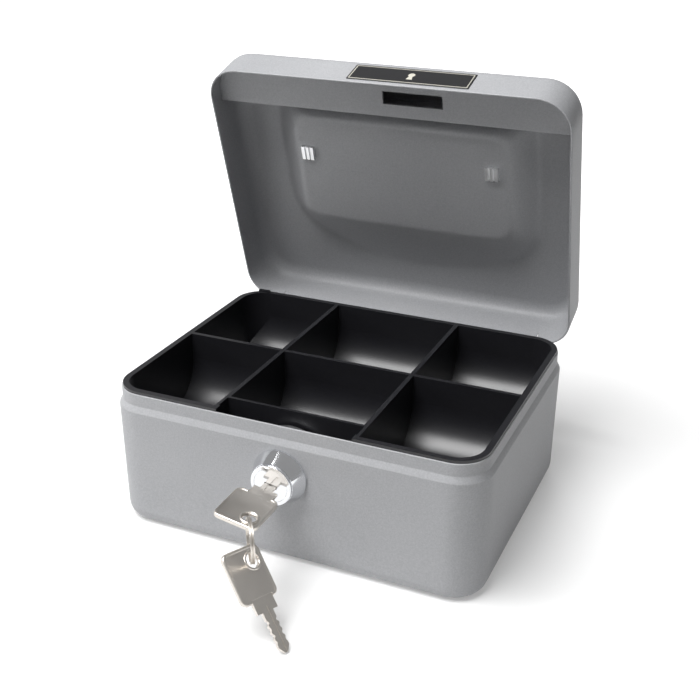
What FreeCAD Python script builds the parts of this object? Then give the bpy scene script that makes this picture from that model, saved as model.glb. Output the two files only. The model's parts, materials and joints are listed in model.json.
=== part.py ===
import FreeCAD, Part
import math
import os

from FreeCAD import Vector

# Small lockable cash box, millimetres, +Z up.
# Origin: centre of the underside.  Front (lock side) is -Y, hinge side is +Y.
# The lid, its fittings and the handle are drawn closed and then turned open about the hinge.

# ---- driving dimensions: box -------------------------------------------------
WIDTH = 152.0
DEPTH = 116.2
RIM_HEIGHT = 57.2
CLOSED_HEIGHT = 72.6
SHEET = 0.8
CORNER_RADIUS = 13.8
BASE_EDGE_RADIUS = 5.5
LID_EDGE_RADIUS = 6.6
SHOULDER_LOW = 49.8
SHOULDER_HIGH = 52.4
RIM_INSET = 1.3
LID_EDGE_HEIGHT = 51.8
LID_OPEN_ANGLE = 73.4

# ---- hinge -------------------------------------------------------------------
HINGE_PIN_RADIUS = 1.0
HINGE_BORE_RADIUS = 1.05
HINGE_BARREL_RADIUS = 1.9
HINGE_Y = DEPTH / 2 + 2.2
HINGE_Z = 50.4
HINGE_HALF_WIDTH = 60.0
HINGE_LEAF_LOW = 34.0
HINGE_LEAF_HIGH = 65.0
HINGE_LEAF_CLEARANCE = 3.0
HINGE_PIN_OVERHANG = 1.0
KNUCKLES = 5
KNUCKLE_GAP = 0.5

# ---- lid strike strip and handle well -----------------------------------------
STRIKE_HEIGHT = 58.8
STRIKE_THICKNESS = 1.0
STRIKE_INNER_Y = -40.3
STRIKE_TAB_HEIGHT = 64.85
STRIKE_LIP_HEIGHT = 71.3
SLOT_LOW_X = -1.5
SLOT_HIGH_X = 23.5
SLOT_Y = -48.5
SLOT_WIDTH = 5.6
WELL_CENTRE_X = 1.0
WELL_DEPTH = 7.7
WELL_FLOOR_HALF_X = 47.0
WELL_FLOOR_LOW_Y = -33.4
WELL_FLOOR_HIGH_Y = 16.0
WELL_SLOPE_X = 9.5
WELL_SLOPE_FRONT = 6.0
WELL_SCOOP_REACH = 23.5

# ---- carry handle -------------------------------------------------------------
HANDLE_ROD_RADIUS = 2.0
HANDLE_PIVOT_Y = -16.3
HANDLE_LIFT = 2.4
HANDLE_ARM_HALF_X = 34.0
HANDLE_REACH = 28.5
HANDLE_PIN_END_X = 44.5
CLIP_X = 40.7
HANDLE_BEND = 3.2
HANDLE_CORNER = 8.0
CLIP_WIDTH = 5.4
CLIP_THICKNESS = 0.9
CLIP_BORE_RADIUS = 2.07
CLIP_PAD_THICKNESS = 1.4
CLIP_GROOVE_WIDTH = 0.7
CLIP_GROOVE_DEPTH = 0.8
CLIP_GROOVE_SPACING = 1.9

# ---- coin tray ----------------------------------------------------------------
TRAY_RIM_LOW = RIM_HEIGHT + 0.02
TRAY_RIM_THICKNESS = 1.1
TRAY_RIM_INSET = 1.75
TRAY_RIM_WIDTH = 3.4
TRAY_BODY_INSET = 3.0
TRAY_WALL = 1.2
TRAY_FLOOR = 30.2
TRAY_SCOOP_RADIUS = 17.0
DIVIDER_LEFT_X = -28.8
DIVIDER_RIGHT_X = 27.7
DIVIDER_MIDDLE_Y = 0.4
DIVIDER_THICKNESS = 1.8
TRAY_NOTCH_Y = -46.2

# ---- lock ---------------------------------------------------------------------
LOCK_X = -1.0
LOCK_Z = 37.3
LOCK_FACE_Y = -DEPTH / 2 - 7.6
BEZEL_RADIUS = 10.9
HEAD_RADIUS = 8.2
HEAD_THICKNESS = 1.3
BARREL_RADIUS = 7.2
BARREL_END_Y = -49.8
PLUG_FACE_RADIUS = 6.65
RUNNING_GAP = 0.05
KEYWAY_GAP = 0.2
BEZEL_FOOT = 0.8
HEAD_ROUND = 0.35
WASHER_RADIUS = 10.0
WASHER_THICKNESS = 0.5
NUT_FLATS = 18.0
NUT_THICKNESS = 3.0
WAFERS = 5
WAFER_FIRST = 3.4
WAFER_PITCH = 2.5
WAFER_THICKNESS = 0.8
WAFER_HALF_WIDTH = 3.5
WAFER_WINDOW_GAP = 0.3
SCREW_HEAD_RADIUS = 4.6
SCREW_HEAD_THICKNESS = 0.9
SCREW_RADIUS = 1.2
PLUG_RADIUS = 5.5
PLUG_END_Y = -49.7
PLUG_TAIL = 6.0
CAM_LOW_Y = -49.4
CAM_THICKNESS = 1.8
CAM_SECTOR_RADIUS = 15.6
HOOK_INNER_RADIUS = 23.7
HOOK_OUTER_RADIUS = 26.6

# ---- keys and ring --------------------------------------------------------------
KEY_THICKNESS = 1.8
BLADE_THICKNESS = 1.1
BLADE_HALF_WIDTH = 2.4
KEY_TIP = 13.8
BOW_LEFT = -9.0
BOW_RIGHT = 7.8
BOW_FAR = -24.4
BOW_NEAR = -5.2
BOW_CORNER = 2.6
KEY_HOLE_U = 3.0
KEY_HOLE_V = -18.9
KEY_HOLE_RADIUS = 2.7
KEY_1_ROLL = -9.8
KEY_1_Y = -68.0
KEY_2_HEADING = -26.8
KEY_2_ROLL = -13.0
KEY_2_HOLE = Vector(5.1, -92.2, 23.7)
RING_CENTRE = Vector(4.0, -90.5, 30.75)
RING_HEADING = -55.0
RING_RADIUS = 7.8
RING_RADIAL = 0.8
RING_BAND = 1.5

KEY_TIP_HEIGHT = 0.15
KEY_ROOT_HALF_WIDTH = 4.7
KEY_ROOT_FAR = -13.0
KEY_SHOULDER = -1.2
KEY_BITE_DEPTHS = (0.62, 0.36, 0.62, 0.36)
KEY_FIRST_BITE = 1.6
KEY_BITE_PITCH = 2.4
KEY_GROOVE_HALF_WIDTH = 0.45
KEY_GROOVE_DEPTH = 0.22
KEY_EDGE_ROUND = 0.5
FIT = 0.02

LABEL_LOW_X = -13.9
LABEL_HIGH_X = 36.0
LABEL_LOW_Z = 53.6
LABEL_HIGH_Z = 65.4
LABEL_THICKNESS = 0.25

X_AXIS = Vector(1, 0, 0)
Y_AXIS = Vector(0, 1, 0)
Z_AXIS = Vector(0, 0, 1)
HINGE_POINT = Vector(0, HINGE_Y, HINGE_Z)

nodes = {}


# ---- shape helpers ----------------------------------------------------------------
def outline(half_x, half_y, radius, z, centre=(0.0, 0.0)):
    """Closed rounded-rectangle wire at height z."""
    cx, cy = centre
    corners = [(1, 1, 0), (-1, 1, 90), (-1, -1, 180), (1, -1, 270)]
    edges = []
    ends = []
    for sx, sy, start in corners:
        middle = Vector(cx + sx * (half_x - radius), cy + sy * (half_y - radius), z)
        points = []
        for turn in (start, start + 45, start + 90):
            a = math.radians(turn)
            points.append(middle + Vector(radius * math.cos(a), radius * math.sin(a), 0))
        ends.append((points[0], points[2]))
        edges.append(Part.Arc(*points).toShape())
    wire = []
    for i in range(4):
        wire.append(edges[i])
        wire.append(Part.LineSegment(ends[i][1], ends[(i + 1) % 4][0]).toShape())
    return Part.Wire(wire)


def prism(half_x, half_y, radius, low, high, centre=(0.0, 0.0)):
    """Upright rounded-rectangle prism."""
    face = Part.Face(outline(half_x, half_y, radius, low, centre))
    return face.extrude(Vector(0, 0, high - low))


def loft(first, second):
    """Ruled solid between two matching wires."""
    return Part.makeLoft([first, second], True, True)


def box(low, high):
    """Axis-aligned box from its two corners."""
    size = [h - l for l, h in zip(low, high)]
    return Part.makeBox(size[0], size[1], size[2], Vector(*low))


def edges_at(shape, z):
    """Edges that lie flat at height z."""
    found = []
    for edge in shape.Edges:
        bounds = edge.BoundBox
        if abs(bounds.ZMin - z) < 0.01 and abs(bounds.ZMax - z) < 0.01:
            found.append(edge)
    return found


def rod_y(x, z, radius, low, high):
    """Round bar along Y."""
    return Part.makeCylinder(radius, high - low, Vector(x, low, z), Y_AXIS)


def rod_x(y, z, radius, low, high):
    """Round bar along X."""
    return Part.makeCylinder(radius, high - low, Vector(low, y, z), X_AXIS)


def polygon(points):
    """Closed straight-sided face through the points."""
    return Part.Face(Part.makePolygon([*points, points[0]]))


def opened(shape):
    """Turn a closed-lid shape to the stored open position."""
    turned = shape.copy()
    turned.rotate(HINGE_POINT, X_AXIS, -LID_OPEN_ANGLE)
    return turned


# ---- base shell: pressed steel tub with a joggled rim ------------------------------
def tub(inset, floor, edge_radius, top):
    """Solid that follows the tub's outside, shrunk by inset."""
    half_x = WIDTH / 2 - inset
    half_y = DEPTH / 2 - inset
    radius = CORNER_RADIUS - inset
    body = prism(half_x, half_y, radius, floor, SHOULDER_LOW)
    body = body.makeFillet(edge_radius, edges_at(body, floor))
    lower = outline(half_x, half_y, radius, SHOULDER_LOW)
    rim = (half_x - RIM_INSET, half_y - RIM_INSET, radius - RIM_INSET)
    upper = outline(*rim, SHOULDER_HIGH)
    return body.fuse([loft(lower, upper), prism(*rim, SHOULDER_HIGH, top)]).removeSplitter()


def base_shell():
    shell = tub(0, 0, BASE_EDGE_RADIUS, RIM_HEIGHT)
    shell = shell.cut(tub(SHEET, SHEET, BASE_EDGE_RADIUS - SHEET, RIM_HEIGHT + 1))
    hole = rod_y(LOCK_X, LOCK_Z, BARREL_RADIUS + 0.15, -DEPTH / 2 - 1, -DEPTH / 2 + 2)
    return shell.cut(hole)


nodes["base_shell"] = base_shell()


# ---- lid shell: pressed steel cover with a sunk handle well -------------------------
def scoop_wire(z, half_x, start_y, reach):
    """Finger scoop outline: a straight chord closed by a shallow arc."""
    left = Vector(WELL_CENTRE_X - half_x, start_y, z)
    right = Vector(WELL_CENTRE_X + half_x, start_y, z)
    crown = Vector(WELL_CENTRE_X, start_y + reach, z)
    chord = Part.LineSegment(left, right).toShape()
    return Part.Wire([chord, Part.Arc(right, crown, left).toShape()])


def well(grow):
    """Handle well as a solid, grown outwards by the sheet thickness where asked."""
    floor = CLOSED_HEIGHT - WELL_DEPTH - grow
    top = CLOSED_HEIGHT + 0.001
    mid_y = (WELL_FLOOR_LOW_Y + WELL_FLOOR_HIGH_Y) / 2
    half_y = (WELL_FLOOR_HIGH_Y - WELL_FLOOR_LOW_Y) / 2
    low = outline(WELL_FLOOR_HALF_X + grow, half_y + grow, 6 + grow, floor, (WELL_CENTRE_X, mid_y))
    half_top = half_y + WELL_SLOPE_FRONT / 2 + grow
    centre = (WELL_CENTRE_X, mid_y - WELL_SLOPE_FRONT / 2)
    high = outline(WELL_FLOOR_HALF_X + WELL_SLOPE_X + grow, half_top, 12 + grow, top, centre)
    chord_y = WELL_FLOOR_HIGH_Y - 9
    scoop_low = scoop_wire(floor, WELL_FLOOR_HALF_X - 6 + grow, chord_y, 9 + grow)
    reach = WELL_SCOOP_REACH + 9 + grow
    scoop_high = scoop_wire(top, WELL_FLOOR_HALF_X + WELL_SLOPE_X - 1 + grow, chord_y, reach)
    return loft(low, high).fuse(loft(scoop_low, scoop_high))


def cover(inset, top, edge_radius):
    """Lid outline solid, shrunk by inset."""
    size = (WIDTH / 2 - inset, DEPTH / 2 - inset, CORNER_RADIUS - inset)
    body = prism(*size, LID_EDGE_HEIGHT, top)
    return body.makeFillet(edge_radius, edges_at(body, top))


def clip_slots():
    """Two short slots in the well floor for each handle clip's legs."""
    slots = []
    floor = CLOSED_HEIGHT - WELL_DEPTH
    for side in (-1, 1):
        for leg in (-1, 1):
            y = HANDLE_PIVOT_Y + leg * (CLIP_BORE_RADIUS + CLIP_THICKNESS / 2)
            half_x = CLIP_WIDTH / 2 + 0.1
            half_y = CLIP_THICKNESS / 2 + 0.1
            low = (side * CLIP_X - half_x, y - half_y, floor - 3)
            high = (side * CLIP_X + half_x, y + half_y, floor + 3)
            slots.append(box(low, high))
    return slots


def lid_shell():
    shell = cover(0, CLOSED_HEIGHT, LID_EDGE_RADIUS).cut(well(0))
    cavity = cover(SHEET, CLOSED_HEIGHT - SHEET, LID_EDGE_RADIUS - SHEET)
    below = box((-WIDTH, -DEPTH, LID_EDGE_HEIGHT - 5), (WIDTH, DEPTH, LID_EDGE_HEIGHT + 0.01))
    cavity = cavity.fuse(below.common(prism(WIDTH / 2 - SHEET, DEPTH / 2 - SHEET,
                                            CORNER_RADIUS - SHEET, LID_EDGE_HEIGHT - 5,
                                            LID_EDGE_HEIGHT + 1))).removeSplitter()
    shell = shell.cut(cavity.cut(well(SHEET)))
    relief = []
    for side in (-1, 1):
        x = side * (HINGE_HALF_WIDTH + 0.9)
        low = (x - 0.4, DEPTH / 2 - 2, LID_EDGE_HEIGHT - 1)
        high = (x + 0.4, DEPTH / 2 + 2, LID_EDGE_HEIGHT + 8)
        relief.append(box(low, high))
    return shell.cut(clip_slots() + relief)


nodes["lid_shell"] = opened(lid_shell())


# ---- strike strip: folded steel channel inside the lid front, with the latch slot ----
def lid_front_flange():
    half_x = WIDTH / 2 - SHEET - 0.05
    half_y = DEPTH / 2 - SHEET - 0.05
    radius = CORNER_RADIUS - SHEET - 0.05
    plate = prism(half_x, half_y, radius, STRIKE_HEIGHT, STRIKE_HEIGHT + STRIKE_THICKNESS)
    plate = plate.common(box((-WIDTH, -DEPTH, 0), (WIDTH, STRIKE_INNER_Y, 100)))
    straight = WIDTH / 2 - CORNER_RADIUS
    low = (-straight, -half_y, STRIKE_HEIGHT)
    high = (straight, -half_y + STRIKE_THICKNESS, STRIKE_TAB_HEIGHT)
    slot = box((SLOT_LOW_X, SLOT_Y - SLOT_WIDTH / 2, 0), (SLOT_HIGH_X, SLOT_Y + SLOT_WIDTH / 2, 100))
    lip_low = (-straight, STRIKE_INNER_Y - STRIKE_THICKNESS, STRIKE_HEIGHT)
    lip = box(lip_low, (straight, STRIKE_INNER_Y, STRIKE_LIP_HEIGHT))
    return plate.fuse([box(low, high), lip]).removeSplitter().cut(slot)


nodes["lid_front_flange"] = opened(lid_front_flange())


# ---- hinge: two folded leaves with interleaved knuckles on one wire pin ---------------
def hinge_leaf(low_z, high_z, clear_z, spans):
    """Leaf plate on the rear wall; its knuckles cover the spans along X."""
    inner = DEPTH / 2
    outer = inner + SHEET
    far = high_z if clear_z > HINGE_Z else low_z
    plate_ends = sorted((clear_z, far))
    leaf = box((-HINGE_HALF_WIDTH, inner, plate_ends[0]), (HINGE_HALF_WIDTH, outer, plate_ends[1]))
    for start, end in spans:
        web_ends = sorted((HINGE_Z, far))
        web = box((start, inner, web_ends[0]), (end, outer, web_ends[1]))
        barrel = rod_x(HINGE_Y, HINGE_Z, HINGE_BARREL_RADIUS, start, end)
        leaf = leaf.fuse([web, barrel])
    bore = rod_x(HINGE_Y, HINGE_Z, HINGE_BORE_RADIUS, -WIDTH / 2, WIDTH / 2)
    return leaf.removeSplitter().cut(bore)


def knuckle_spans(first):
    """Every other one of the equal knuckles, starting at the given one."""
    pitch = 2 * HINGE_HALF_WIDTH / KNUCKLES
    spans = []
    for i in range(first, KNUCKLES, 2):
        start = -HINGE_HALF_WIDTH + i * pitch + (KNUCKLE_GAP / 2 if i else 0)
        end = -HINGE_HALF_WIDTH + (i + 1) * pitch - (KNUCKLE_GAP / 2 if i < KNUCKLES - 1 else 0)
        spans.append((start, end))
    return spans


nodes["hinge_leaf_base"] = hinge_leaf(HINGE_LEAF_LOW, HINGE_Z, HINGE_Z - HINGE_LEAF_CLEARANCE,
                                      knuckle_spans(0))
nodes["hinge_leaf_lid"] = opened(hinge_leaf(HINGE_Z, HINGE_LEAF_HIGH, HINGE_Z + HINGE_LEAF_CLEARANCE,
                                            knuckle_spans(1)))
nodes["hinge_pin"] = rod_x(HINGE_Y, HINGE_Z, HINGE_PIN_RADIUS, -HINGE_HALF_WIDTH - HINGE_PIN_OVERHANG,
                          HINGE_HALF_WIDTH + HINGE_PIN_OVERHANG)


# ---- carry handle: bent steel bail in the well, held by two staple clips ---------------
HANDLE_Z = CLOSED_HEIGHT - WELL_DEPTH + HANDLE_LIFT


def carry_handle():
    """Bail swept along pins, arms and grip, all in one plane."""
    z = HANDLE_Z
    bend = HANDLE_BEND
    corner = HANDLE_CORNER
    arm = HANDLE_ARM_HALF_X
    grip_y = HANDLE_PIVOT_Y + HANDLE_REACH
    near = math.cos(math.radians(45))
    path = []
    for side in (-1, 1):
        start = Vector(side * HANDLE_PIN_END_X, HANDLE_PIVOT_Y, z)
        bend_in = Vector(side * (arm + bend), HANDLE_PIVOT_Y, z)
        bend_mid = Vector(side * (arm + bend - bend * near), HANDLE_PIVOT_Y + bend - bend * near, z)
        bend_out = Vector(side * arm, HANDLE_PIVOT_Y + bend, z)
        corner_in = Vector(side * arm, grip_y - corner, z)
        corner_mid = Vector(side * (arm - corner + corner * near), grip_y - corner + corner * near, z)
        corner_out = Vector(side * (arm - corner), grip_y, z)
        half = [
            Part.LineSegment(start, bend_in).toShape(),
            Part.Arc(bend_in, bend_mid, bend_out).toShape(),
            Part.LineSegment(bend_out, corner_in).toShape(),
            Part.Arc(corner_in, corner_mid, corner_out).toShape(),
        ]
        path.append((half, corner_out))
    grip = Part.LineSegment(path[0][1], path[1][1]).toShape()
    route = Part.Wire([*path[0][0], grip, *reversed(path[1][0])])
    begin = Vector(-HANDLE_PIN_END_X, HANDLE_PIVOT_Y, z)
    section = Part.Wire([Part.makeCircle(HANDLE_ROD_RADIUS, begin, X_AXIS)])
    return route.makePipeShell([section], True, False)


nodes["carry_handle"] = opened(carry_handle())


def handle_clip(side):
    """Staple over the pivot pin, legs through the floor and clinched into a ribbed pad."""
    x_low = side * CLIP_X - CLIP_WIDTH / 2
    x_high = side * CLIP_X + CLIP_WIDTH / 2
    outer = CLIP_BORE_RADIUS + CLIP_THICKNESS
    floor = CLOSED_HEIGHT - WELL_DEPTH - SHEET
    arch = rod_x(HANDLE_PIVOT_Y, HANDLE_Z, outer, x_low, x_high)
    legs = box((x_low, HANDLE_PIVOT_Y - outer, floor - CLIP_THICKNESS),
               (x_high, HANDLE_PIVOT_Y + outer, HANDLE_Z))
    inside = rod_x(HANDLE_PIVOT_Y, HANDLE_Z, CLIP_BORE_RADIUS, x_low, x_high)
    gap = box((x_low, HANDLE_PIVOT_Y - CLIP_BORE_RADIUS, floor - 2),
              (x_high, HANDLE_PIVOT_Y + CLIP_BORE_RADIUS, HANDLE_Z))
    clip = arch.fuse(legs).cut([inside, gap])
    pad_low = floor - CLIP_PAD_THICKNESS
    pad = box((x_low, HANDLE_PIVOT_Y - outer, pad_low), (x_high, HANDLE_PIVOT_Y + outer, floor - 0.02))
    for way in (-1, 1):
        groove_x = side * CLIP_X + way * CLIP_GROOVE_SPACING / 2
        low = (groove_x - CLIP_GROOVE_WIDTH / 2, HANDLE_PIVOT_Y - outer, pad_low)
        high = (groove_x + CLIP_GROOVE_WIDTH / 2, HANDLE_PIVOT_Y + outer, pad_low + CLIP_GROOVE_DEPTH)
        pad = pad.cut(box(low, high))
    clip = clip.fuse(pad)
    return clip.removeSplitter()


nodes["handle_clip_left"] = opened(handle_clip(-1))
nodes["handle_clip_right"] = opened(handle_clip(1))


# ---- front label: thin plate on the lid's front skirt ------------------------------------
label_low = (LABEL_LOW_X, -DEPTH / 2 - LABEL_THICKNESS, LABEL_LOW_Z)
nodes["front_label"] = opened(box(label_low, (LABEL_HIGH_X, -DEPTH / 2, LABEL_HIGH_Z)))


# ---- coin tray: one moulding with six scooped cups ------------------------------------------
def cup_profile(x, front_y, rear_y, floor, top, scoop):
    """Side view of a cup: upright front, flat floor, floor swept up into the rear wall."""
    near = math.cos(math.radians(45))
    toe = 3.0
    front_top = Vector(x, front_y, top)
    front_low = Vector(x, front_y, floor + toe)
    toe_mid = Vector(x, front_y + toe - toe * near, floor + toe - toe * near)
    toe_end = Vector(x, front_y + toe, floor)
    scoop_start = Vector(x, rear_y - scoop, floor)
    scoop_mid = Vector(x, rear_y - scoop + scoop * near, floor + scoop - scoop * near)
    scoop_end = Vector(x, rear_y, floor + scoop)
    rear_top = Vector(x, rear_y, top)
    return Part.Face(Part.Wire([
        Part.LineSegment(front_top, front_low).toShape(),
        Part.Arc(front_low, toe_mid, toe_end).toShape(),
        Part.LineSegment(toe_end, scoop_start).toShape(),
        Part.Arc(scoop_start, scoop_mid, scoop_end).toShape(),
        Part.LineSegment(scoop_end, rear_top).toShape(),
        Part.LineSegment(rear_top, front_top).toShape(),
    ]))


def tray_cups(grow):
    """Six cups as solids, grown outwards by the wall where asked."""
    half_x = WIDTH / 2 - TRAY_BODY_INSET - TRAY_WALL
    half_y = DEPTH / 2 - TRAY_BODY_INSET - TRAY_WALL
    half = DIVIDER_THICKNESS / 2
    columns = [
        (-half_x, DIVIDER_LEFT_X - half),
        (DIVIDER_LEFT_X + half, DIVIDER_RIGHT_X - half),
        (DIVIDER_RIGHT_X + half, half_x),
    ]
    top = TRAY_RIM_LOW + TRAY_RIM_THICKNESS + (0 if grow else 1)
    cups = []
    for i, (low_x, high_x) in enumerate(columns):
        front = TRAY_NOTCH_Y + TRAY_WALL if i == 1 else -half_y
        for low_y, high_y in ((front, DIVIDER_MIDDLE_Y - half), (DIVIDER_MIDDLE_Y + half, half_y)):
            face = cup_profile(low_x - grow, low_y - grow, high_y + grow, TRAY_FLOOR - grow, top,
                               TRAY_SCOOP_RADIUS + grow)
            cups.append(face.extrude(Vector(high_x - low_x + 2 * grow, 0, 0)))
    return cups


def coin_tray():
    body_x = WIDTH / 2 - TRAY_BODY_INSET
    body_y = DEPTH / 2 - TRAY_BODY_INSET
    radius = CORNER_RADIUS - TRAY_BODY_INSET
    rim_top = TRAY_RIM_LOW + TRAY_RIM_THICKNESS
    outers = tray_cups(TRAY_WALL)
    body = outers[0].fuse(outers[1:]).common(prism(body_x, body_y, radius, 0, rim_top))
    rim_x = WIDTH / 2 - TRAY_RIM_INSET
    rim_y = DEPTH / 2 - TRAY_RIM_INSET
    rim = prism(rim_x, rim_y, CORNER_RADIUS - TRAY_RIM_INSET, TRAY_RIM_LOW, rim_top)
    rim = rim.cut(prism(rim_x - TRAY_RIM_WIDTH, rim_y - TRAY_RIM_WIDTH,
                        CORNER_RADIUS - TRAY_RIM_INSET - TRAY_RIM_WIDTH, 0, 100))
    notch = box((DIVIDER_LEFT_X + DIVIDER_THICKNESS / 2, -DEPTH, 0),
                (DIVIDER_RIGHT_X - DIVIDER_THICKNESS / 2, TRAY_NOTCH_Y, 100))
    tray = body.fuse(rim).cut(notch)
    hollow = tray_cups(0)
    inside = prism(body_x - TRAY_WALL, body_y - TRAY_WALL, radius - TRAY_WALL, 0, 100)
    tray = tray.cut([cup.common(inside) for cup in hollow])
    tab = box((-68.6, DEPTH / 2 - 4.2, TRAY_RIM_LOW), (-63.4, DEPTH / 2 - 2.6, rim_top + 0.9))
    return tray.fuse(tab).removeSplitter()


nodes["coin_tray"] = coin_tray()


# ---- cam lock -------------------------------------------------------------------------------
def rolled(shape, angle=KEY_1_ROLL):
    """Turn about the lock axis; positive is counter-clockwise seen from the front."""
    turned = shape.copy()
    turned.rotate(Vector(LOCK_X, 0, LOCK_Z), Vector(0, -1, 0), angle)
    return turned


WALL_OUTER_Y = -DEPTH / 2
WALL_INNER_Y = WALL_OUTER_Y + SHEET
HEAD_REAR_Y = LOCK_FACE_Y + HEAD_THICKNESS


def lock_bezel():
    length = WALL_OUTER_Y - HEAD_REAR_Y
    cone = Part.makeCone(HEAD_RADIUS + 0.1, BEZEL_RADIUS, length - BEZEL_FOOT,
                         Vector(LOCK_X, HEAD_REAR_Y, LOCK_Z), Y_AXIS)
    foot = rod_y(LOCK_X, LOCK_Z, BEZEL_RADIUS, WALL_OUTER_Y - BEZEL_FOOT, WALL_OUTER_Y)
    bore = rod_y(LOCK_X, LOCK_Z, BARREL_RADIUS + 0.1, HEAD_REAR_Y - 1, WALL_OUTER_Y + 1)
    return cone.fuse(foot).removeSplitter().cut(bore)


nodes["lock_bezel"] = lock_bezel()


def lock_barrel():
    head = rod_y(LOCK_X, LOCK_Z, HEAD_RADIUS, LOCK_FACE_Y, HEAD_REAR_Y)
    head = head.makeFillet(HEAD_ROUND, [e for e in head.Edges if abs(e.BoundBox.YMax - LOCK_FACE_Y) < 0.01])
    body = rod_y(LOCK_X, LOCK_Z, BARREL_RADIUS, HEAD_REAR_Y, BARREL_END_Y)
    counterbore = rod_y(LOCK_X, LOCK_Z, PLUG_FACE_RADIUS + 0.07, LOCK_FACE_Y - 1, LOCK_FACE_Y + 1.2)
    bore = rod_y(LOCK_X, LOCK_Z, PLUG_RADIUS + RUNNING_GAP, LOCK_FACE_Y, BARREL_END_Y + 1)
    return head.fuse(body).removeSplitter().cut([counterbore, bore])


nodes["lock_barrel"] = lock_barrel()


def lock_washer():
    ring = rod_y(LOCK_X, LOCK_Z, WASHER_RADIUS, WALL_INNER_Y, WALL_INNER_Y + WASHER_THICKNESS)
    return ring.cut(rod_y(LOCK_X, LOCK_Z, BARREL_RADIUS + 0.1, WALL_INNER_Y - 1, WALL_INNER_Y + 1))


nodes["lock_washer"] = lock_washer()


def lock_nut():
    low = WALL_INNER_Y + WASHER_THICKNESS
    reach = NUT_FLATS / 2 / math.cos(math.radians(30))
    points = []
    for i in range(6):
        a = math.radians(60 * i)
        points.append(Vector(LOCK_X + reach * math.cos(a), low, LOCK_Z + reach * math.sin(a)))
    nut = polygon(points).extrude(Vector(0, NUT_THICKNESS, 0))
    return nut.cut(rod_y(LOCK_X, LOCK_Z, BARREL_RADIUS + FIT, low - 1, low + 5))


nodes["lock_nut"] = lock_nut()


WAFER_YS = [LOCK_FACE_Y + WAFER_FIRST + WAFER_PITCH * i for i in range(WAFERS)]


def lock_plug():
    face = rod_y(LOCK_X, LOCK_Z, PLUG_FACE_RADIUS, LOCK_FACE_Y + 0.05, LOCK_FACE_Y + 1.15)
    body = rod_y(LOCK_X, LOCK_Z, PLUG_RADIUS, LOCK_FACE_Y + 1, PLUG_END_Y)
    half = PLUG_TAIL / 2
    tail = box((LOCK_X - half, PLUG_END_Y - 0.5, LOCK_Z - half),
               (LOCK_X + half, CAM_LOW_Y + CAM_THICKNESS - 0.2, LOCK_Z + half))
    plug = face.fuse([body, tail]).removeSplitter()
    slot_x = BLADE_HALF_WIDTH + KEYWAY_GAP
    slot_z = BLADE_THICKNESS / 2 + KEYWAY_GAP
    keyway = box((LOCK_X - slot_x, LOCK_FACE_Y - 1, LOCK_Z - slot_z),
                 (LOCK_X + slot_x, PLUG_END_Y - 0.8, LOCK_Z + slot_z))
    cuts = [keyway]
    for y in WAFER_YS:
        cuts.append(box((LOCK_X - WAFER_HALF_WIDTH - RUNNING_GAP, y - RUNNING_GAP, LOCK_Z - PLUG_RADIUS - 1),
                        (LOCK_X + WAFER_HALF_WIDTH + RUNNING_GAP, y + WAFER_THICKNESS + RUNNING_GAP,
                         LOCK_Z + PLUG_RADIUS + 1)))
    cuts.append(rod_y(LOCK_X, LOCK_Z, SCREW_RADIUS + RUNNING_GAP, PLUG_END_Y - 0.7, CAM_LOW_Y + 5))
    return rolled(plug.cut(cuts))


nodes["lock_plug"] = lock_plug()


def lock_wafers():
    wafers = []
    window_x = BLADE_HALF_WIDTH + WAFER_WINDOW_GAP
    window_z = BLADE_THICKNESS / 2 + WAFER_WINDOW_GAP
    for y in WAFER_YS:
        disc = rod_y(LOCK_X, LOCK_Z, PLUG_RADIUS - 0.1, y, y + WAFER_THICKNESS)
        plate = disc.common(box((LOCK_X - WAFER_HALF_WIDTH, y - 1, LOCK_Z - 10),
                                (LOCK_X + WAFER_HALF_WIDTH, y + 2, LOCK_Z + 10)))
        window = box((LOCK_X - window_x, y - 1, LOCK_Z - window_z),
                     (LOCK_X + window_x, y + 2, LOCK_Z + window_z))
        wafers.append(rolled(plate.cut(window)))
    return Part.makeCompound(wafers)


nodes["lock_wafers"] = lock_wafers()


def sector(inner, outer, start, end, low, high):
    """Ring sector about the lock axis; angles run from +X towards +Z."""
    def point(radius, turn):
        a = math.radians(turn)
        return Vector(LOCK_X + radius * math.cos(a), low, LOCK_Z + radius * math.sin(a))

    middle = (start + end) / 2
    face = Part.Face(Part.Wire([
        Part.Arc(point(outer, start), point(outer, middle), point(outer, end)).toShape(),
        Part.LineSegment(point(outer, end), point(inner, end)).toShape(),
        Part.Arc(point(inner, end), point(inner, middle), point(inner, start)).toShape(),
        Part.LineSegment(point(inner, start), point(outer, start)).toShape(),
    ]))
    return face.extrude(Vector(0, high - low, 0))


def lock_cam():
    """Hook cam: quarter-disc body, radial arm and a hooked tip that swings up through the slot."""
    low = CAM_LOW_Y
    high = CAM_LOW_Y + CAM_THICKNESS
    hub = rod_y(LOCK_X, LOCK_Z, 8.0, low, high)
    body = sector(4.0, CAM_SECTOR_RADIUS, -19.0, 118.0, low, high)
    arm = sector(4.0, HOOK_OUTER_RADIUS, -19.0, -1.5, low, high)
    hook = sector(HOOK_INNER_RADIUS, HOOK_OUTER_RADIUS, -10.0, 11.5, low, high)
    half = PLUG_TAIL / 2 + FIT
    square = box((LOCK_X - half, low - 1, LOCK_Z - half), (LOCK_X + half, high + 1, LOCK_Z + half))
    cam = hub.fuse([body, arm, hook]).removeSplitter()
    return cam.cut(rolled(square))


nodes["lock_cam"] = lock_cam()


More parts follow.
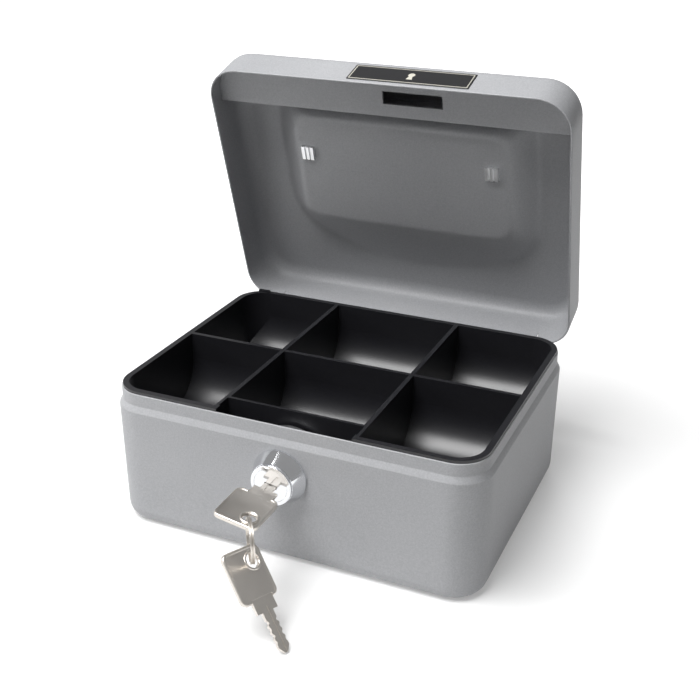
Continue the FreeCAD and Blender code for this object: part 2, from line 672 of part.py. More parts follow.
def cam_screw():
    seat = CAM_LOW_Y + CAM_THICKNESS
    head = rod_y(LOCK_X, LOCK_Z, SCREW_HEAD_RADIUS, seat, seat + SCREW_HEAD_THICKNESS)
    shank = rod_y(LOCK_X, LOCK_Z, SCREW_RADIUS, PLUG_END_Y - 0.3, seat + 0.5)
    drive = box((LOCK_X - 0.4, seat + 0.5, LOCK_Z - 3.2), (LOCK_X + 0.4, seat + 1.5, LOCK_Z + 3.2))
    return head.fuse(shank).removeSplitter().cut(drive)


nodes["cam_screw"] = cam_screw()


# ---- keys: steel blade clamped in a folded sheet bow -------------------------------------------
# Key frame: u across, v along the blade towards the tip, w out of the smooth face.
def key_blade():
    root = KEY_ROOT_HALF_WIDTH
    half = BLADE_HALF_WIDTH
    right = [Vector(half, KEY_SHOULDER, 0)]
    for i, depth in enumerate(KEY_BITE_DEPTHS):
        start = KEY_FIRST_BITE + i * KEY_BITE_PITCH
        right.append(Vector(half, start, 0))
        right.append(Vector(half - depth, start + 0.5, 0))
        right.append(Vector(half - depth, start + 1.2, 0))
        right.append(Vector(half, start + 1.7, 0))
    right.append(Vector(half, KEY_TIP - 2.2, 0))
    left = [Vector(-p.x, p.y, 0) for p in reversed(right)]
    points = [Vector(root, KEY_ROOT_FAR, 0), Vector(root, KEY_SHOULDER, 0), *right,
              Vector(0.6, KEY_TIP, 0), Vector(-0.6, KEY_TIP, 0), *left,
              Vector(-root, KEY_SHOULDER, 0), Vector(-root, KEY_ROOT_FAR, 0)]
    thickness = BLADE_THICKNESS
    blade = polygon(points).extrude(Vector(0, 0, thickness))
    blade.translate(Vector(0, 0, -thickness / 2))
    for face in (-1, 1):
        middle = face * thickness / 2
        low = (-KEY_GROOVE_HALF_WIDTH, KEY_SHOULDER - 1.8, middle - KEY_GROOVE_DEPTH)
        groove = box(low, (KEY_GROOVE_HALF_WIDTH, KEY_TIP + 1, middle + KEY_GROOVE_DEPTH))
        blade = blade.cut(groove)
    return blade


def key_bow():
    half_u = (BOW_RIGHT - BOW_LEFT) / 2
    half_v = (BOW_NEAR - BOW_FAR) / 2
    centre = ((BOW_RIGHT + BOW_LEFT) / 2, (BOW_NEAR + BOW_FAR) / 2)
    half_t = KEY_THICKNESS / 2
    bow = prism(half_u, half_v, BOW_CORNER, -half_t, half_t, centre)
    bow = bow.makeFillet(KEY_EDGE_ROUND, edges_at(bow, half_t) + edges_at(bow, -half_t))
    pocket_half = KEY_ROOT_HALF_WIDTH + FIT
    pocket_t = BLADE_THICKNESS / 2 + 0.01
    pocket = box((-pocket_half, KEY_ROOT_FAR - 0.05, -pocket_t), (pocket_half, BOW_NEAR + 1, pocket_t))
    notch = box((-pocket_half, BOW_NEAR - 1.2, -5), (pocket_half, BOW_NEAR + 1, 5))
    hole = Part.makeCylinder(KEY_HOLE_RADIUS, 10, Vector(KEY_HOLE_U, KEY_HOLE_V, -5))
    return bow.cut([pocket, notch, hole])


def placed(shape, origin, u, v):
    """Move a key-frame shape to its origin with the given u and v directions."""
    w = u.cross(v)
    matrix = FreeCAD.Matrix(u.x, v.x, w.x, origin.x, u.y, v.y, w.y, origin.y,
                            u.z, v.z, w.z, origin.z, 0, 0, 0, 1)
    return shape.transformed(matrix)


def place_key(number, origin, u, v):
    nodes[f"key_blade_{number}"] = placed(key_blade(), origin, u, v)
    nodes[f"key_bow_{number}"] = placed(key_bow(), origin, u, v)


roll = math.radians(KEY_1_ROLL)
place_key(1, Vector(LOCK_X, KEY_1_Y, LOCK_Z), Vector(math.cos(roll), 0, math.sin(roll)), Y_AXIS)


# The second key hangs on the ring and leans with its tip on the floor.
heading = math.radians(KEY_2_HEADING)
pitch_down = math.asin((KEY_2_HOLE.z - KEY_TIP_HEIGHT) / (KEY_TIP - KEY_HOLE_V))
key_2_v = Vector(math.cos(heading) * math.cos(pitch_down), math.sin(heading) * math.cos(pitch_down),
                 -math.sin(pitch_down))
level = Vector(-math.sin(heading), math.cos(heading), 0)
upward = key_2_v.cross(level)
if upward.z < 0:
    upward = -upward
tilt = math.radians(KEY_2_ROLL)
key_2_u = level * math.cos(tilt) + upward * math.sin(tilt)
key_2_origin = KEY_2_HOLE - key_2_u * KEY_HOLE_U - key_2_v * KEY_HOLE_V
place_key(2, key_2_origin, key_2_u, key_2_v)


# ---- split ring: two flat coils side by side ------------------------------------------------------
def split_ring():
    half = RING_BAND / 2
    inner = RING_RADIUS - RING_RADIAL / 2
    outer = RING_RADIUS + RING_RADIAL / 2
    groove = 0.12
    points = [Vector(inner, 0, -half), Vector(outer, 0, -half), Vector(outer, 0, -groove),
              Vector(outer - 0.2, 0, 0), Vector(outer, 0, groove), Vector(outer, 0, half),
              Vector(inner, 0, half)]
    ring = polygon(points).revolve(Vector(0, 0, 0), Z_AXIS, 360)
    toward = Vector(math.cos(math.radians(RING_HEADING)), math.sin(math.radians(RING_HEADING)), 0)
    return placed(ring, RING_CENTRE, toward, Z_AXIS)


nodes["split_ring"] = split_ring()


# ---- export --------------------------------------------------------------------------------------
os.makedirs("parts", exist_ok=True)
for name, shape in nodes.items():
    shape.exportStep(f"parts/{name}.step")
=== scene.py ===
import json
import math

import bmesh
import bpy
from mathutils import Matrix, Vector


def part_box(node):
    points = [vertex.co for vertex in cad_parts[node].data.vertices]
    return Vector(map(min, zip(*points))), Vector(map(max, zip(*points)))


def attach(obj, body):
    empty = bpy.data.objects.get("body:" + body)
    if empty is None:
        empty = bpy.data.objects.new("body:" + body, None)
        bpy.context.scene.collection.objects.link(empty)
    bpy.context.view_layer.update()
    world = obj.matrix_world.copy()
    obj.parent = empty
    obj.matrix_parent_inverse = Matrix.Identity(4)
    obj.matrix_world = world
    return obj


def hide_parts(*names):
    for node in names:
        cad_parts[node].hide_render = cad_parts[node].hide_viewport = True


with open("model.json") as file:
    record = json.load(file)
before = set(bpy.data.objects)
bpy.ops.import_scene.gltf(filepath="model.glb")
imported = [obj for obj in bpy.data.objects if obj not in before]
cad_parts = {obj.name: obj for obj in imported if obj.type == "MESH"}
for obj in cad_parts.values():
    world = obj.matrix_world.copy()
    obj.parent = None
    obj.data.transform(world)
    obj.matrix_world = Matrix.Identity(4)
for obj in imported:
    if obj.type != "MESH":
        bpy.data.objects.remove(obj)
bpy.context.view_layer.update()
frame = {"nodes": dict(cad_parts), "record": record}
NODES = frame["nodes"]
scene = bpy.context.scene
MM = 0.001


# ---------------------------------------------------------------- camera
# A slightly long lens above the box, to the right of its front, with no shift and no
# depth of field. It stands about 0.4 m from the lock.
lens_length = 57.57
camera_position = Vector((164.37, -371.22, 250.30))
camera_heading = 23.71
camera_down = 24.66
camera_lean = 0.19
camera_data = bpy.data.cameras.new("view_camera")
camera_data.sensor_width = 36.0
camera_data.lens = lens_length
camera_data.clip_start = 0.01
camera = bpy.data.objects.new("view_camera", camera_data)
scene.collection.objects.link(camera)
camera_turn = Matrix.Rotation(math.radians(camera_heading), 4, "Z")
camera_tilt = Matrix.Rotation(math.radians(90 - camera_down), 4, "X")
camera_roll = Matrix.Rotation(math.radians(camera_lean), 4, "Z")
camera_place = Matrix.Translation(camera_position * MM)
camera.matrix_world = camera_place @ camera_turn @ camera_tilt @ camera_roll
scene.camera = camera


# ---------------------------------------------------------------- studio floor and light
# A white table, bright all round the box, in a white room. A large soft box hangs above
# the front, with a small one low at the left and one behind. The camera sees one sheet
# of the table, and a smaller sheet under it throws light back up at the box.
class Wire:
    """One shader socket. Sums and products of wires and numbers add Math nodes."""

    def __init__(self, finish, socket):
        self.finish = finish
        self.socket = socket

    def _math(self, operation, first, second):
        return self.finish.add("ShaderNodeMath", {"operation": operation}, {0: first, 1: second})

    def __add__(self, other):
        return self._math("ADD", self, other)

    def __radd__(self, other):
        return self._math("ADD", other, self)

    def __sub__(self, other):
        return self._math("SUBTRACT", self, other)

    def __rsub__(self, other):
        return self._math("SUBTRACT", other, self)

    def __mul__(self, other):
        return self._math("MULTIPLY", self, other)

    def __rmul__(self, other):
        return self._math("MULTIPLY", other, self)

    def clipped(self):
        return self.finish.add("ShaderNodeMath", {"operation": "ADD", "use_clamp": True}, {0: self, 1: 0.0})

    def size(self):
        return self.finish.add("ShaderNodeMath", {"operation": "ABSOLUTE"}, {0: self})

    def root(self):
        return self.finish.add("ShaderNodeMath", {"operation": "SQRT"}, {0: self})


class Finish:
    """A material with one Principled shader. `add` puts in any node and returns its output."""

    def __init__(self, name, **plain):
        self.material = bpy.data.materials.new(name)
        self.material.use_nodes = True
        self.nodes = self.material.node_tree.nodes
        self.links = self.material.node_tree.links
        self.shader = self.nodes["Principled BSDF"]
        for socket, value in plain.items():
            self.put(self.shader.inputs[socket.replace("_", " ")], value)
        self.place = self.add("ShaderNodeTexCoord", {}, {}, "Object")

    def put(self, socket, value):
        if isinstance(value, Wire):
            self.links.new(value.socket, socket)
        elif isinstance(value, tuple) and len(value) == 3 and socket.type == "RGBA":
            socket.default_value = (*value, 1.0)
        else:
            socket.default_value = value

    def add(self, kind, settings, sockets, output=0):
        node = self.nodes.new(kind)
        for name, value in settings.items():
            setattr(node, name, value)
        for name, value in sockets.items():
            self.put(node.inputs[name], value)
        return Wire(self, node.outputs[output])

    def noise(self, scale, detail=2.0, roughness=0.5):
        sockets = {"Vector": self.place, "Scale": scale, "Detail": detail, "Roughness": roughness}
        return self.add("ShaderNodeTexNoise", {}, sockets)

    def spread(self, value, low, high):
        """The value mapped from low..high to 0..1, held inside it."""
        sockets = {"Value": value, "From Min": low, "From Max": high}
        return self.add("ShaderNodeMapRange", {"clamp": True}, sockets)

    def blend(self, factor, first, second):
        """A colour between two colours."""
        node = self.add("ShaderNodeMix", {"data_type": "RGBA"}, {"Factor": factor}, 2)
        mix = node.socket.node
        self.put(mix.inputs[6], first)
        self.put(mix.inputs[7], second)
        return node

    def bump(self, height, distance, strength):
        sockets = {"Height": height, "Distance": distance, "Strength": strength}
        return self.add("ShaderNodeBump", {}, sockets)

    def set(self, **sockets):
        for name, value in sockets.items():
            self.put(self.shader.inputs[name.replace("_", " ")], value)


def soft_panel(name, centre, target, size, power):
    light = bpy.data.lights.new(name, "AREA")
    light.shape = "RECTANGLE"
    light.size = size[0]
    light.size_y = size[1]
    light.energy = power
    panel = bpy.data.objects.new(name, light)
    scene.collection.objects.link(panel)
    panel.location = centre
    panel.rotation_euler = (Vector(target) - Vector(centre)).to_track_quat("-Z", "Y").to_euler()
    return panel


def table(name, half, height, finish):
    """A flat square sheet of the stage."""
    mesh = bpy.data.meshes.new(name)
    corners = [(-half, -half, height), (half, -half, height), (half, half, height), (-half, half, height)]
    mesh.from_pydata(corners, [], [(0, 1, 2, 3)])
    mesh.materials.append(finish.material)
    sheet = bpy.data.objects.new(name, mesh)
    scene.collection.objects.link(sheet)
    return sheet


table_half = 4.0
bounce_half = 0.27
bounce_below = 0.0005
glow_starts, glow_full = 0.1, 0.5
white_card = Finish("white_table", Roughness=0.8, Emission_Strength=1.0)
out_from_box = white_card.add("ShaderNodeVectorMath", {"operation": "LENGTH"}, {0: white_card.place}, 1)
glow = white_card.spread(out_from_box, glow_starts, glow_full)
white_card.set(
    Base_Color=white_card.blend(white_card.noise(6.0), (0.66, 0.66, 0.66), (0.7, 0.7, 0.7)),
    Emission_Color=white_card.blend(glow, (0.3, 0.3, 0.3), (1.0, 1.0, 1.0)),
)
seen_table = table("seen_table", table_half, 0.0, white_card)
seen_table.visible_diffuse = False
seen_table.visible_shadow = False

grey_card = Finish("grey_table", Roughness=0.7)
grey_card.set(Base_Color=grey_card.blend(grey_card.noise(6.0), (0.66, 0.66, 0.66), (0.72, 0.72, 0.72)))
bounce_table = table("bounce_table", bounce_half, -bounce_below, grey_card)
bounce_table.visible_camera = False
bounce_table.visible_glossy = False

soft_panel("key_box", (-0.24, -0.4, 1.08), (0.0, 0.0, 0.05), (0.75, 0.6), 17.5)
soft_panel("left_box", (-0.9, -0.45, 0.45), (0.0, 0.0, 0.03), (0.4, 0.4), 2.2)
rear_box = soft_panel("rear_box", (-0.3, 1.0, 0.75), (0.0, 0.0, 0.08), (0.5, 0.4), 3.0)
rear_box.visible_glossy = False

room_strength = 0.03
room_gloss_strength = 0.32
room_seen_strength = 1.0
room = bpy.data.worlds.new("white_room")
room.use_nodes = True
scene.world = room
room_nodes = room.node_tree.nodes
room_links = room.node_tree.links
room_ray = room_nodes.new("ShaderNodeLightPath")


def room_glow(background, strength):
    """A white background of one strength."""
    background.inputs["Color"].default_value = (1.0, 1.0, 1.0, 1.0)
    background.inputs["Strength"].default_value = strength
    return background.outputs[0]


def room_choice(ray, otherwise, chosen):
    """One background for one kind of ray, and another for the rest."""
    choice = room_nodes.new("ShaderNodeMixShader")
    room_links.new(room_ray.outputs[ray], choice.inputs[0])
    room_links.new(otherwise, choice.inputs[1])
    room_links.new(chosen, choice.inputs[2])
    return choice.outputs[0]


room_light = room_glow(room_nodes["Background"], room_strength)
room_gloss = room_glow(room_nodes.new("ShaderNodeBackground"), room_gloss_strength)
room_seen = room_glow(room_nodes.new("ShaderNodeBackground"), room_seen_strength)
room_base = room_choice("Is Glossy Ray", room_light, room_gloss)
room_mix = room_choice("Is Camera Ray", room_base, room_seen)
room_links.new(room_mix, room_nodes["World Output"].inputs[0])
scene.view_settings.view_transform = "Standard"


# ---------------------------------------------------------------- base shell
# The base is drawn from 0.8 mm steel sheet: a flat bottom, walls that widen slightly up
# to a pressed shoulder, and an inset rim. It wears a satin silver-grey powder coat.
paint = Finish("silver_powder_coat", Metallic=0.05, IOR=1.5)
grain = paint.noise(1500.0, 3.0, 0.6)
drift = paint.noise(25.0, 2.0)
flakes = paint.noise(3200.0, 1.0)
paint.set(
    Base_Color=paint.blend(
        paint.spread(grain * 0.5 + flakes * 0.3 + drift * 0.2, 0.32, 0.68),
        (0.34, 0.345, 0.36),
        (0.47, 0.475, 0.49),
    ),
    Roughness=0.44 + 0.12 * drift,
    Normal=paint.bump(grain, 0.00012, 0.4),
)

ARC_PARTS = 10
SIDE_PARTS = (38, 50, 38, 50)
CORNER_TURNS = ((1, -1, -90), (1, 1, 0), (-1, 1, 90), (-1, -1, 180))


def rounded_rectangle(half_x, half_y, radius):
    """Points round a rectangle with rounded corners, the same number for every size."""
    corners = []
    for side_x, side_y, start in CORNER_TURNS:
        centre = Vector((side_x * (half_x - radius), side_y * (half_y - radius)))
        arc = []
        for step in range(ARC_PARTS + 1):
            angle = math.radians(start + 90 * step / ARC_PARTS)
            arc.append(centre + radius * Vector((math.cos(angle), math.sin(angle))))
        corners.append(arc)
    points = []
    for index, arc in enumerate(corners):
        following = corners[(index + 1) % 4][0]
        parts = SIDE_PARTS[index]
        points += arc
        points += [arc[-1].lerp(following, step / parts) for step in range(1, parts)]
    return points


def rounded_line(corners, parts=6, margin=0.5):
    """The line through (x, y, radius) corners, with arcs, and a point near each arc's ends."""
    line = []
    for index, (x, y, radius) in enumerate(corners):
        here = Vector((x, y))
        if radius == 0:
            line.append(here)
            continue
        back = (Vector(corners[index - 1][:2]) - here).normalized()
        ahead = (Vector(corners[index + 1][:2]) - here).normalized()
        half_angle = back.angle(ahead) / 2
        reach = radius / math.tan(half_angle)
        centre = here + (back + ahead).normalized() * radius / math.sin(half_angle)
        first = (here + back * reach - centre).normalized()
        last = (here + ahead * reach - centre).normalized()
        if (Vector(corners[index - 1][:2]) - here).length > reach + 4 * margin:
            line.append(here + back * (reach + margin))
        line += [centre + radius * first.slerp(last, step / parts) for step in range(parts + 1)]
        if (Vector(corners[index + 1][:2]) - here).length > reach + 4 * margin:
            line.append(here + ahead * (reach + margin))
    return line


def bridged(rings, closed=True, capped=True):
    """A smooth mesh through rings of points, with its end rings filled."""
    mesh = bmesh.new()
    rows = [[mesh.verts.new(point) for point in ring] for ring in rings]
    for low, high in zip(rows, rows[1:]):
        count = len(low)
        for index in range(count if closed else count - 1):
            other = (index + 1) % count
            mesh.faces.new((low[index], low[other], high[other], high[index]))
    if capped:
        mesh.faces.new(tuple(reversed(rows[0])))
        mesh.faces.new(tuple(rows[-1]))
    bmesh.ops.recalc_face_normals(mesh, faces=mesh.faces)
    return mesh


def finished(mesh, name, place=None):
    """The mesh in metres, smooth, and moved from its drawing place."""
    mesh.transform(Matrix.Scale(MM, 4))
    if place:
        mesh.transform(place)
    for face in mesh.faces:
        face.smooth = True
    data = bpy.data.meshes.new(name)
    mesh.to_mesh(data)
    mesh.free()
    return data


def even_shading(piece):
    """Flat faces keep flat shading up to where their rounded edges start."""
    weighted = piece.modifiers.new("even_shading", "WEIGHTED_NORMAL")
    weighted.mode = "FACE_AREA"
    weighted.weight = 60


def show(name, mesh, body, finish, replaced=()):
    """A new piece in the row's frame, riding on its body and standing for its CAD nodes."""
    piece = bpy.data.objects.new(name, mesh)
    scene.collection.objects.link(piece)
    mesh.materials.clear()
    mesh.materials.append(finish.material)
    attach(piece, body)
    if replaced:
        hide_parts(*replaced)
    return piece


SHARP_EDGE = 35


def repaint(node, finish, edge=0.12):
    """The finish of a piece that keeps its CAD shape, with its edges eased by some millimetres."""
    piece = NODES[node]
    for slot in piece.material_slots:
        slot.link = "OBJECT"
        slot.material = finish.material
    eased = piece.modifiers.new("eased_edges", "BEVEL")
    eased.width = edge * MM
    eased.segments = 2
    eased.limit_method = "ANGLE"
    eased.angle_limit = math.radians(SHARP_EDGE)
    eased.harden_normals = True


def millimetres(corner):
    return [value / MM for value in corner]


half_width, half_depth, rim_height = millimetres(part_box("base_shell")[1])
sheet = 0.8
corner_radius = 13.8
bottom_radius = 5.5
bottom_inset = 0.5
shoulder_low = 49.9
shoulder_high = 52.3
rim_inset = 1.3
flat_inset = 30.0
rim_round = 0.3
shoulder_round = 0.9
shoulder_lift = 0.2
tightest_corner = 1.2


def shell_ring(inset, height):
    radius = max(corner_radius - inset, tightest_corner)
    points = rounded_rectangle(half_width - inset, half_depth - inset, radius)
    return [(point.x, point.y, height) for point in points]


base_profile = rounded_line([
    (flat_inset, 0.0, 0),
    (bottom_inset, 0.0, bottom_radius),
    (0.0, shoulder_low, shoulder_round),
    (rim_inset, shoulder_high, shoulder_round),
    (rim_inset, rim_height, rim_round),
    (rim_inset + sheet, rim_height, rim_round),
    (rim_inset + sheet, shoulder_high + shoulder_lift, shoulder_round),
    (sheet, shoulder_low + shoulder_lift, shoulder_round),
    (bottom_inset + sheet, sheet, bottom_radius - sheet),
    (flat_inset, sheet, 0),
])
base_mesh = bridged([shell_ring(inset, height) for inset, height in base_profile])
base_skin = finished(base_mesh, "base_shell_skin")
base_piece = show("base_shell_skin", base_skin, "base", paint, ["base_shell"])
even_shading(base_piece)


# ---------------------------------------------------------------- lid shell
# The lid is drawn from the same sheet, with a rounded top edge. A well for the carry
# handle is pressed into it, with a finger scoop that runs out in a shallow curve. The
# strike strip and the hinge leaves are welded on and painted with the shells.
hinge = next(joint for joint in frame["record"]["behaviour"]["joints"] if joint["name"] == "lid_hinge")
hinge_point = Vector(hinge["pos_m"])
open_turn = Matrix.Rotation(-math.radians(hinge["range_deg"][1]), 4, "X")
OPENED = Matrix.Translation(hinge_point) @ open_turn @ Matrix.Translation(-hinge_point)

lid_edge = 51.8
closed_height = 72.6
lid_radius = 6.6
well_depth = 7.7
well_x = 1.0
well_floor_half_x = 47.0
well_floor_front = -33.4
well_floor_rear = 16.0
well_top_half_x = 57.0
well_top_front = -39.4
scoop_crown_x = 5.0
scoop_crown_y = 40.5
scoop_curve = 0.006
plate_step = 1.1
well_edge_round = 1.4
well_inner_ease = 9.0
well_outer_ease = 12.0
lid_flat_inset = 11.5
plate_starts = 12.0
plate_middle = 1.5
lid_edge_round = 0.35


def soft_max(first, second, width):
    """The larger of two numbers, eased where they are close."""
    near = max(width - abs(first - second), 0.0) / width
    return max(first, second) + near * near * width / 4


def soft_ramp(value, width):
    """0 below -width, the value above width, and a smooth bend between."""
    if value <= -width:
        return 0.0
    if value >= width:
        return value
    return (value + width) ** 2 / (4 * width)


def well_fall(x, y):
    """How far the lid's top is pressed down at a place."""
    side = abs(x - well_x)
    middle = (well_floor_front + well_floor_rear) / 2
    across = (well_floor_rear - well_floor_front) / 2
    inner = soft_max(side - well_floor_half_x, abs(y - middle) - across, well_inner_ease)
    scoop = scoop_crown_y - scoop_curve * (x - scoop_crown_x) ** 2
    outer = soft_max(side - well_top_half_x, max(well_top_front - y, y - scoop), well_outer_ease)
    width = max(inner - outer, 1.0)
    share = inner / width
    bend = min(well_edge_round / width, 0.5)
    return well_depth * (1 - soft_ramp(share, bend) + soft_ramp(share - 1, bend))


def plate_rings(height):
    """Rings of a pressed plate, from its outer edge to its middle."""
    rings = []
    inset = plate_starts
    while inset < half_depth - plate_middle:
        ring = shell_ring(inset, height)
        rings.append([(x, y, z - well_fall(x, y)) for x, y, z in ring])
        inset += plate_step
    return rings


def block(low, high):
    """A rectangular cutter."""
    mesh = bmesh.new()
    bmesh.ops.create_cube(mesh, size=1.0)
    low = Vector(low)
    high = Vector(high)
    for vert in mesh.verts:
        vert.co = Vector([(a + b) / 2 + c * (b - a) for a, b, c in zip(low, high, vert.co)])
    return mesh


def loose(source, label):
    """A mesh as an object that rides on nothing, used while cutting."""
    data = bpy.data.meshes.new(label)
    source.to_mesh(data)
    source.free()
    item = bpy.data.objects.new(label, data)
    scene.collection.objects.link(item)
    return item


def carved(mesh, cutters, name):
    """The mesh with the cutters taken out of it."""
    body = loose(mesh, name)
    tools = [loose(cutter, name + "_cutter") for cutter in cutters]
    for tool in tools:
        cut = body.modifiers.new("cut", "BOOLEAN")
        cut.operation = "DIFFERENCE"
        cut.solver = "EXACT"
        cut.object = tool
    bpy.context.view_layer.update()
    seen = body.evaluated_get(bpy.context.evaluated_depsgraph_get())
    result = bmesh.new()
    result.from_mesh(seen.to_mesh())
    for item in [body, *tools]:
        bpy.data.objects.remove(item)
    return result


lid_profile = rounded_line([
    (lid_flat_inset, closed_height, 0),
    (0.0, closed_height, lid_radius),
    (0.0, lid_edge, lid_edge_round),
    (sheet, lid_edge, lid_edge_round),
    (sheet, closed_height - sheet, lid_radius - sheet),
    (lid_flat_inset, closed_height - sheet, 0),
])
lid_rings = list(reversed(plate_rings(closed_height)))
lid_rings += [shell_ring(inset, height) for inset, height in lid_profile]
lid_rings += plate_rings(closed_height - sheet)
slit_gap = 0.9
slit_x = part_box("hinge_leaf_lid")[1].x / MM + slit_gap
slit_half = 0.22
slit_top = 58.0
slits = []
for side in (-1, 1):
    slit_low = (side * slit_x - slit_half, half_depth - 2, lid_edge - 1)
    slits.append(block(slit_low, (side * slit_x + slit_half, half_depth + 2, slit_top)))
lid_mesh = carved(bridged(lid_rings), slits, "lid_shell_skin")
lid_skin = finished(lid_mesh, "lid_shell_skin", OPENED)
lid_piece = show("lid_shell_skin", lid_skin, "lid", paint, ["lid_shell"])
even_shading(lid_piece)
for node in ("lid_front_flange", "hinge_leaf_base", "hinge_leaf_lid"):
    repaint(node, paint)


# ---------------------------------------------------------------- bright fittings
# The lock's bezel, barrel and plug and the carry handle are polished chrome. The hinge pin
# and the lock's washer, nut, cam, screw and wafers are zinc plated, and the two bent clips
# that hold the handle are a brighter satin zinc.
chrome = Finish("polished_chrome", Metallic=1.0)
haze = chrome.noise(180.0, 3.0)
chrome.set(
    Base_Color=chrome.blend(haze, (0.76, 0.77, 0.79), (0.84, 0.85, 0.87)),
    Roughness=0.06 + 0.06 * haze,
)
for node in ("lock_bezel", "carry_handle"):
    repaint(node, chrome)
barrel_edge = 0.28
for node in ("lock_barrel", "lock_plug"):
    repaint(node, chrome, barrel_edge)

zinc = Finish("zinc_plate", Metallic=1.0)
bloom = zinc.noise(320.0, 4.0, 0.6)
zinc.set(
    Base_Color=zinc.blend(bloom, (0.5, 0.51, 0.53), (0.68, 0.69, 0.71)),
    Roughness=0.24 + 0.16 * bloom,
)
for node in ("hinge_pin", "lock_washer", "lock_nut", "lock_cam", "cam_screw", "lock_wafers"):
    repaint(node, zinc)

satin = Finish("satin_zinc", Metallic=1.0)
cloud = satin.noise(240.0, 3.0, 0.6)
satin.set(
    Base_Color=satin.blend(cloud, (0.78, 0.79, 0.8), (0.9, 0.9, 0.91)),
    Roughness=0.30 + 0.12 * cloud,
)
for node in ("handle_clip_left", "handle_clip_right"):
    repaint(node, satin)


# ---------------------------------------------------------------- label
# A black film label stuck on the front of the lid, printed with a thin pale border and a
# plain keyhole.
label_low, label_high = (-13.9, 53.6), (36.0, 65.4)
label_film = 0.25
label_corner = 0.5
label_middle = [(low + high) / 2 for low, high in zip(label_low, label_high)]
label_half = [(high - low) / 2 for low, high in zip(label_low, label_high)]
label_centre = Vector((label_middle[0], -half_depth, label_middle[1]))


def label_ring(inset, out):
    points = rounded_rectangle(label_half[0] - inset, label_half[1] - inset, label_corner)
    return [(label_centre.x + point.x, label_centre.y - out, label_centre.z + point.y) for point in points]


film = Finish("black_film", IOR=1.5)
film_middle = OPENED @ (label_centre * MM)
film_up = OPENED.to_3x3() @ Vector((0, 0, 1))
from_middle = film.add("ShaderNodeVectorMath", {"operation": "SUBTRACT"}, {0: film.place, 1: film_middle})


def along(direction):
    """The distance from the label's middle in one direction, in millimetres."""
    sockets = {0: from_middle, 1: direction}
    return film.add("ShaderNodeVectorMath", {"operation": "DOT_PRODUCT"}, sockets, 1) * (1 / MM)


across = along((1, 0, 0))
upward = along(film_up)


def inside(half_x, half_y, soft=0.12):
    """1 inside a rectangle on the label, 0 outside it."""
    in_x = film.spread(across.size(), half_x + soft, half_x - soft)
    in_y = film.spread(upward.size(), half_y + soft, half_y - soft)
    return in_x * in_y


def round_spot(x, y, radius, soft=0.12):
    """1 inside a circle on the label, 0 outside it."""
    reach = ((across - x) * (across - x) + (upward - y) * (upward - y)).root()
    return film.spread(reach, radius + soft, radius - soft)


border_outside, border_inside = 0.7, 1.05
keyhole_head_y, keyhole_head_radius = 0.9, 1.35
keyhole_foot, keyhole_neck = -2.65, 0.5
border = inside(label_half[0] - border_outside, label_half[1] - border_outside)
border = border * (1 - inside(label_half[0] - border_inside, label_half[1] - border_inside))
keyhole_stem = film.spread(across.size() + upward * 0.25, 0.75, 0.5)
keyhole_stem = keyhole_stem * film.spread(upward, keyhole_foot - 0.1, keyhole_foot + 0.1)
keyhole_stem = keyhole_stem * film.spread(upward, keyhole_neck + 0.1, keyhole_neck - 0.1)
keyhole = (round_spot(0.0, keyhole_head_y, keyhole_head_radius) + keyhole_stem).clipped()
printed = (border + keyhole).clipped()
film_black = film.blend(film.noise(60.0), (0.010, 0.010, 0.011), (0.016, 0.016, 0.018))
film.set(
    Base_Color=film.blend(printed, film_black, (0.62, 0.60, 0.52)),
    Roughness=0.32 + 0.1 * film.noise(400.0),
)
label_steps = [(0, 0), (0, label_film * 0.6), (0.12, label_film), (2.0, label_film)]
label_rings = [label_ring(inset, out) for inset, out in label_steps]
label_mesh = finished(bridged(label_rings), "front_label_film", OPENED)
show("front_label_film", label_mesh, "lid", film, ["front_label"])


# ---------------------------------------------------------------- coin tray
# The tray is one moulding of black polystyrene with six scooped cups. Its rim hangs on
# the rim of the base, and its front is notched to clear the lock's cam.
plastic = Finish("black_polystyrene", IOR=1.55)
mould = plastic.noise(900.0, 3.0, 0.6)
plastic.set(
    Base_Color=plastic.blend(mould, (0.010, 0.010, 0.012), (0.015, 0.015, 0.018)),
    Roughness=0.29 + 0.07 * mould,
    Normal=plastic.bump(mould, 0.00005, 0.3),
)
tray_edge = 0.3
repaint("coin_tray", plastic, tray_edge)


# ---------------------------------------------------------------- keys and ring
# Each key is a stamped steel blade clamped in a bow folded from sheet, with a rolled rim
# and a pressed eyelet. A split ring of two coils joins them. All are nickel plated.
nickel = Finish("satin_nickel", Metallic=1.0)
rub = nickel.noise(90.0, 2.0)
hairline = nickel.noise(2600.0, 2.0)
nickel.set(
    Base_Color=nickel.blend(rub, (0.66, 0.62, 0.57), (0.78, 0.74, 0.69)),
    Roughness=0.28 + 0.10 * rub + 0.04 * hairline,
    Normal=nickel.bump(hairline, 0.00002, 0.15),
)

bow_left, bow_right = -9.0, 7.8
bow_far, bow_near = -24.4, -5.2
bow_corner = 2.6
bow_half = 0.9
bow_field = 0.66
hole_u, hole_v, hole_radius = 3.0, -18.9, 2.7
root_half, root_far = 4.72, -13.05
blade_slot = 0.56
key_tip = 13.8


def bow_ring(inset, height):
    half_u = (bow_right - bow_left) / 2 - inset
    half_v = (bow_near - bow_far) / 2 - inset
    points = rounded_rectangle(half_u, half_v, max(bow_corner - inset, 0.4))
    middle = Vector(((bow_right + bow_left) / 2, (bow_near + bow_far) / 2))
    return [(middle.x + point.x, middle.y + point.y, height) for point in points]


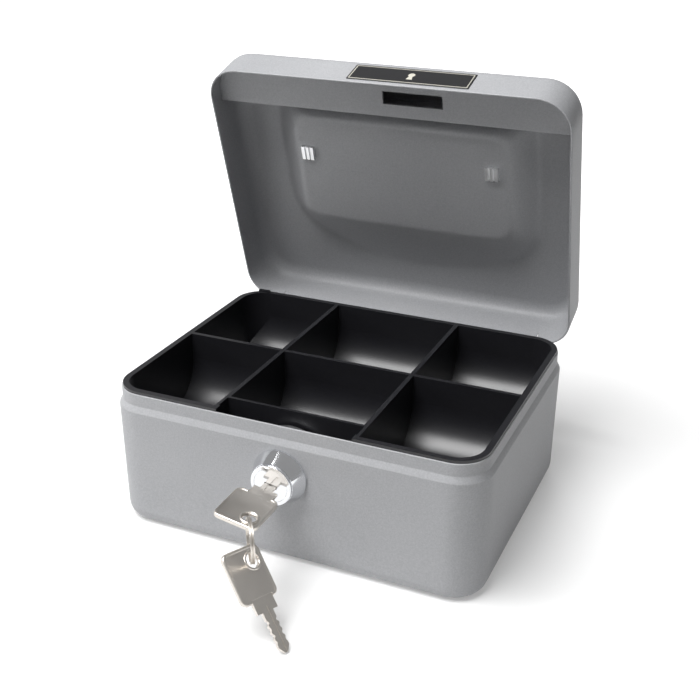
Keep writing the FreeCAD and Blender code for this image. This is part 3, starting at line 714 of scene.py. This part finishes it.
def lathe(profile, centre, parts=64):
    """A closed ring turned from (radius, height) points."""
    rings = []
    for step in range(parts + 1):
        angle = 2 * math.pi * step / parts
        out = Vector((math.cos(angle), math.sin(angle), 0))
        rings.append([centre + out * radius + Vector((0, 0, height)) for radius, height in profile])
    mesh = bridged(rings, capped=False)
    bmesh.ops.remove_doubles(mesh, verts=mesh.verts, dist=0.0005)
    bmesh.ops.recalc_face_normals(mesh, faces=mesh.faces)
    return mesh


def bow_mesh(name, place):
    half_profile = [(4.0, bow_field), (1.3, bow_field), (1.05, bow_field + 0.08), (0.85, bow_half - 0.03)]
    half_profile += [(0.7, bow_half), (0.5, bow_half), (0.25, bow_half - 0.07), (0.07, bow_half - 0.25)]
    half_profile += [(0.0, bow_half - 0.5)]
    profile = half_profile + [(inset, -height) for inset, height in reversed(half_profile)]
    body = bridged([bow_ring(inset, height) for inset, height in profile])
    middle = Vector((hole_u, hole_v, 0))
    turns = [2 * math.pi * step / 48 for step in range(48)]
    circle = [(hole_radius * math.cos(turn), hole_radius * math.sin(turn)) for turn in turns]
    punch = bridged([[middle + Vector((x, y, height)) for x, y in circle] for height in (-2.0, 2.0)])
    pocket = block((-root_half, root_far, -blade_slot), (root_half, bow_near + 1, blade_slot))
    notch = block((-root_half, bow_near - 1.2, -2), (root_half, bow_near + 1, 2))
    solid = carved(body, [punch, pocket, notch], name)
    top = bow_half + 0.03
    eyelet = [(hole_radius, -top + 0.15), (hole_radius + 0.15, -top), (hole_radius + 0.6, -top)]
    eyelet += [(hole_radius + 1.0, -bow_field + 0.1), (hole_radius + 1.0, bow_field - 0.1)]
    eyelet += [(hole_radius + 0.6, top), (hole_radius + 0.15, top), (hole_radius, top - 0.15)]
    ring = lathe(eyelet, middle)
    ring_data = bpy.data.meshes.new(name + "_eyelet")
    ring.to_mesh(ring_data)
    ring.free()
    solid.from_mesh(ring_data)
    return finished(solid, name, place)


def key_place(origin, u, v):
    """The move from a key's drawing place to where it hangs."""
    w = u.cross(v)
    place = Matrix((u, v, w)).transposed().to_4x4()
    place.translation = origin * MM
    return place


bezel_low, bezel_high = [Vector(millimetres(corner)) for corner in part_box("lock_bezel")]
lock_x = (bezel_low.x + bezel_high.x) / 2
lock_z = (bezel_low.z + bezel_high.z) / 2
key_1_y = -68.0
key_1_roll = math.radians(-9.8)
key_1_u = Vector((math.cos(key_1_roll), 0, math.sin(key_1_roll)))
key_1_place = key_place(Vector((lock_x, key_1_y, lock_z)), key_1_u, Vector((0, 1, 0)))

key_2_hole = Vector((5.1, -92.2, 23.7))
key_2_heading = math.radians(-26.8)
key_2_tilt = math.radians(-13)
key_2_tip_height = 0.15
pitch = math.asin((key_2_hole.z - key_2_tip_height) / (key_tip - hole_v))
flat_way = Vector((math.cos(key_2_heading), math.sin(key_2_heading), 0))
key_2_v = flat_way * math.cos(pitch) - Vector((0, 0, math.sin(pitch)))
level = Vector((-math.sin(key_2_heading), math.cos(key_2_heading), 0))
upright = key_2_v.cross(level)
if upright.z < 0:
    upright = -upright
key_2_u = level * math.cos(key_2_tilt) + upright * math.sin(key_2_tilt)
key_2_place = key_place(key_2_hole - key_2_u * hole_u - key_2_v * hole_v, key_2_u, key_2_v)

for number, place in ((1, key_1_place), (2, key_2_place)):
    bow_name = f"key_bow_{number}_sheet"
    bow = bow_mesh(bow_name, place)
    bow_piece = show(bow_name, bow, f"key_{number}", nickel, [f"key_bow_{number}"])
    even_shading(bow_piece)
    repaint(f"key_blade_{number}", nickel)
repaint("split_ring", nickel)


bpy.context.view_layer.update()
